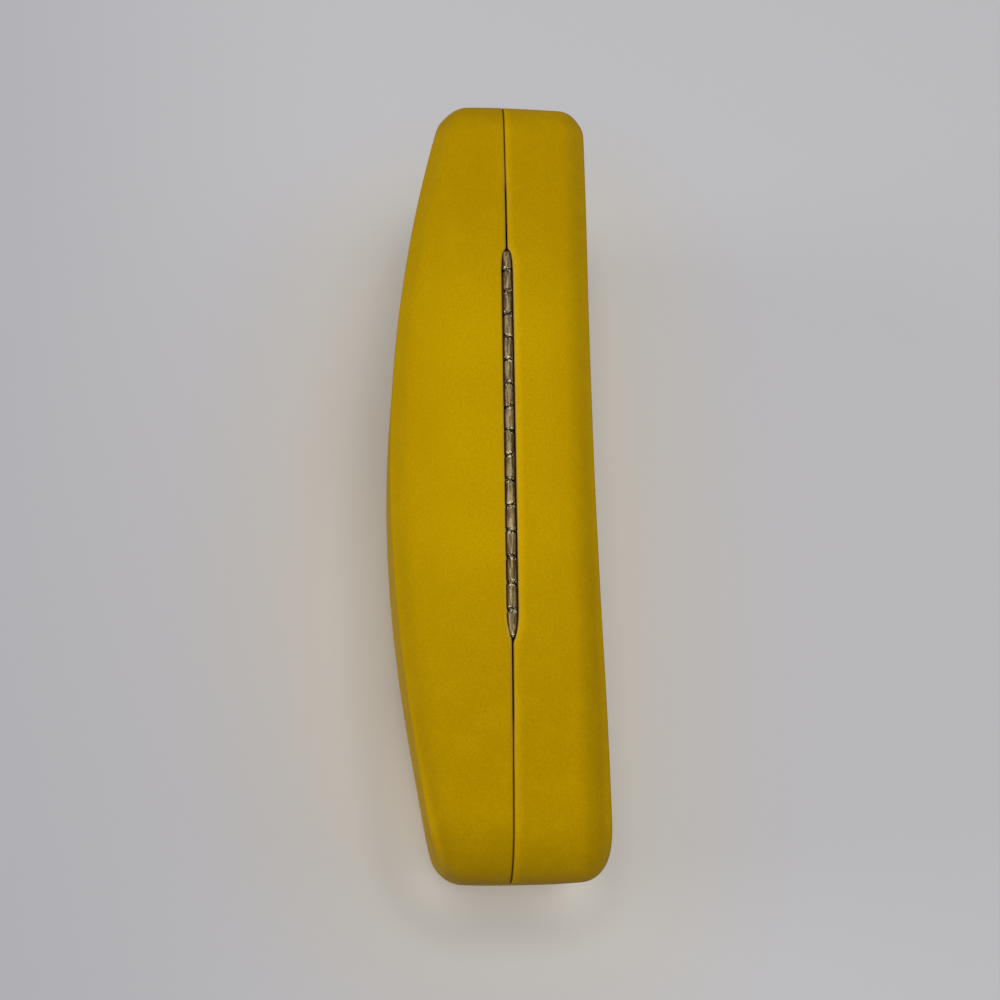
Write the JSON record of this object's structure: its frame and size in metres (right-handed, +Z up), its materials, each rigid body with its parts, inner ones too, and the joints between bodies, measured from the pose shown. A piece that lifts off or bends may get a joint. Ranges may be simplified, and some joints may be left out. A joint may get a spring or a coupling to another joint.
{
  "type": "hard sunglasses case",
  "caption": "Hard clamshell case for sunglasses: steel shells under a matte wrap, flocked inside, with a long knuckle hinge that snaps open and shut.",
  "frame": {"origin": "centre of the bounding box on the surface that the case stands on, under its front rims", "axes": "+X along the hinge, +Y across the case from the lid towards the flat underside of the base, +Z up towards the hinge"},
  "size_m": [0.163, 0.0414, 0.0645],
  "materials": {
    "wrap": "matte soft-touch grained wrap",
    "sheet_steel": "plain pressed sheet steel",
    "foam": "soft foam sheet",
    "flock": "short dark flock",
    "hinge_metal": "satin nickel plate",
    "rivet_metal": "satin nickel plate",
    "spring_steel": "blued spring strip",
    "gusset_cloth": "dark microfibre strip"
  },
  "bodies": {
    "base": {"base_cover": "wrap", "base_shell": "sheet_steel", "base_foam": "foam", "base_lining": "flock", "hinge_leaf_base": "hinge_metal", "hinge_pin": "hinge_metal", "hinge_rivets_base": "rivet_metal", "snap_spring_left": "spring_steel", "snap_spring_right": "spring_steel", "hinge_gusset": "gusset_cloth"},
    "lid": {"lid_cover": "wrap", "lid_shell": "sheet_steel", "lid_foam": "foam", "lid_lining": "flock", "hinge_leaf_lid": "hinge_metal", "hinge_rivets_lid": "rivet_metal"}
  },
  "joints": [
    {"name": "lid_hinge", "type": "hinge", "parent": "base", "child": "lid", "pos_m": [0, 0.0033, 0.0635], "axis": [-1, 0, 0], "range_deg": [0, 105], "deforming": ["snap_spring_left", "snap_spring_right", "hinge_gusset"]}
  ]
}
